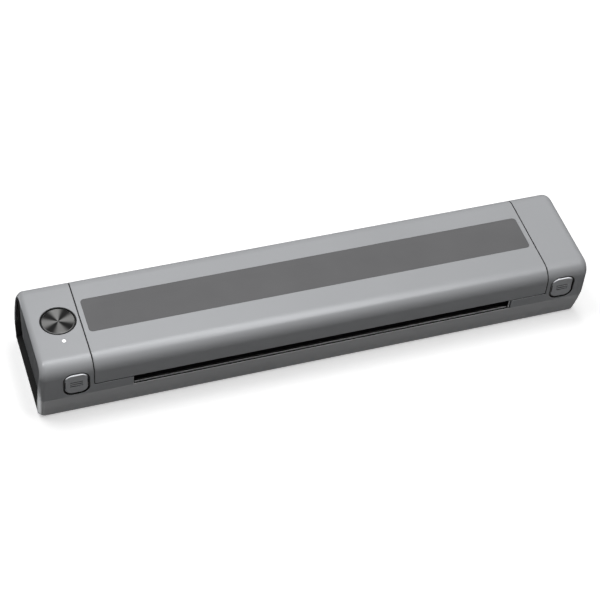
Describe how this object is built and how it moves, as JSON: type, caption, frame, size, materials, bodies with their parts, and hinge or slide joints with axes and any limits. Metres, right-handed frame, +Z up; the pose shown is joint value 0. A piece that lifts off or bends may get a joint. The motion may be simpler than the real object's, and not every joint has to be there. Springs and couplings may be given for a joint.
{
  "type": "portable tattoo stencil printer",
  "caption": "Slim thermal printer for stencil sheets: a long rounded casing with a hinged cover, platen roller, print head, gear train, cover releases and a power button.",
  "frame": {"origin": "middle of the footprint, on the surface that the feet stand on", "axes": "+X along the body towards the end with the power socket, +Y towards the hinge at the back, +Z up"},
  "size_m": [0.315, 0.064, 0.039],
  "materials": {
    "grey_paint": "satin metallic paint",
    "lower_grey": "satin metallic paint",
    "inlay_grey": "satin print",
    "end_grey": "fine texture",
    "black_plastic": "moulded",
    "foot_rubber": "matte",
    "roller_rubber": "ground",
    "steel": "ground",
    "spring_steel": "drawn wire",
    "sink_aluminium": "extruded",
    "button_metal": "spun, dark anodised",
    "pinion_brass": "cut",
    "gear_white": "moulded",
    "board_green": "solder mask",
    "chip_black": "moulded",
    "battery_blue": "shrink wrap",
    "ceramic_white": "glazed ceramic",
    "ribbon_amber": "film",
    "light_white": "clear moulding, lit",
    "lead_red": "sleeve",
    "lead_black": "sleeve"
  },
  "bodies": {
    "base": {"bottom_shell": "lower_grey", "upper_housing": "grey_paint", "end_trim_left": "black_plastic", "end_trim_right": "black_plastic", "end_plate_left": "end_grey", "end_plate_right": "end_grey", "rubber_feet": "foot_rubber", "paper_deck": "black_plastic", "exit_guide": "grey_paint", "main_board": "board_green", "board_chips": "chip_black", "usb_socket": "steel", "battery_pack": "battery_blue", "motor": "steel", "gear_frame": "steel", "idler_axle": "steel", "drive_axle": "steel", "power_board": "board_green", "power_switch": "chip_black", "status_led": "light_white", "light_pipe": "light_white", "power_bezel": "black_plastic", "head_pivot_rod": "steel", "hinge_pin_left": "steel", "hinge_pin_right": "steel", "paper_sensor": "chip_black", "head_flex": "ribbon_amber", "base_screws": "steel", "deck_screws": "steel", "board_screws": "steel", "motor_screws": "steel", "latch_spring_left": "spring_steel", "latch_spring_right": "spring_steel", "head_springs": "spring_steel", "motor_lead": "lead_red", "battery_lead": "lead_black"},
    "cover": {"cover_shell": "grey_paint", "cover_inlay": "inlay_grey", "cover_inner_frame": "black_plastic", "platen_bush_left": "gear_white", "platen_bush_right": "gear_white", "cover_screws": "steel"},
    "platen": {"platen_shaft": "steel", "platen_rubber": "roller_rubber", "platen_gear": "gear_white"},
    "idler": {"idler_gear": "gear_white"},
    "drive": {"drive_gear": "gear_white"},
    "rotor": {"motor_shaft": "steel", "motor_pinion": "pinion_brass"},
    "print_head": {"heat_sink": "sink_aluminium", "head_ceramic": "ceramic_white", "head_driver_cover": "black_plastic"},
    "left_release": {"push_button_left": "grey_paint", "latch_slider_left": "black_plastic"},
    "right_release": {"push_button_right": "grey_paint", "latch_slider_right": "black_plastic"},
    "power_key": {"power_cap": "button_metal", "power_plunger": "black_plastic", "switch_nub": "gear_white"}
  },
  "joints": [
    {"name": "cover_hinge", "type": "hinge", "parent": "base", "child": "cover", "pos_m": [0, 0.0295, 0.024], "axis": [-1, 0, 0], "range_deg": [0, 85]},
    {"name": "platen_spin", "type": "hinge", "parent": "cover", "child": "platen", "pos_m": [0, -0.008, 0.027], "axis": [1, 0, 0], "continuous": true},
    {"name": "idler_spin", "type": "hinge", "parent": "base", "child": "idler", "pos_m": [-0.119, -0.00928, 0.01105], "axis": [1, 0, 0], "continuous": true},
    {"name": "drive_spin", "type": "hinge", "parent": "base", "child": "drive", "pos_m": [-0.121, 0.00067, 0.0121], "axis": [1, 0, 0], "continuous": true},
    {"name": "rotor_spin", "type": "hinge", "parent": "base", "child": "rotor", "pos_m": [-0.127, 0.01111, 0.01319], "axis": [1, 0, 0], "continuous": true},
    {"name": "head_tilt", "type": "hinge", "parent": "base", "child": "print_head", "pos_m": [0, 0.0065, 0.0114], "axis": [1, 0, 0], "range_deg": [0, 1.5], "stiffness_Nm_per_rad": 0.5, "springref_deg": -5.73, "deforming": ["head_springs", "head_flex"]},
    {"name": "left_release_push", "type": "slide", "parent": "base", "child": "left_release", "axis": [0, 1, 0], "range_m": [0, 0.002], "stiffness_N_per_m": 150, "springref_m": -0.002, "deforming": ["latch_spring_left"]},
    {"name": "right_release_push", "type": "slide", "parent": "base", "child": "right_release", "axis": [0, 1, 0], "range_m": [0, 0.002], "stiffness_N_per_m": 150, "springref_m": -0.002, "deforming": ["latch_spring_right"]},
    {"name": "power_press", "type": "slide", "parent": "base", "child": "power_key", "axis": [0, 0, -1], "range_m": [0, 0.0005], "stiffness_N_per_m": 300, "springref_m": -0.001}
  ],
  "couplings": [
    {"joint": "idler_spin", "follows": "platen_spin", "ratio": -1.2857},
    {"joint": "drive_spin", "follows": "platen_spin", "ratio": 3},
    {"joint": "rotor_spin", "follows": "platen_spin", "ratio": -7.5}
  ]
}
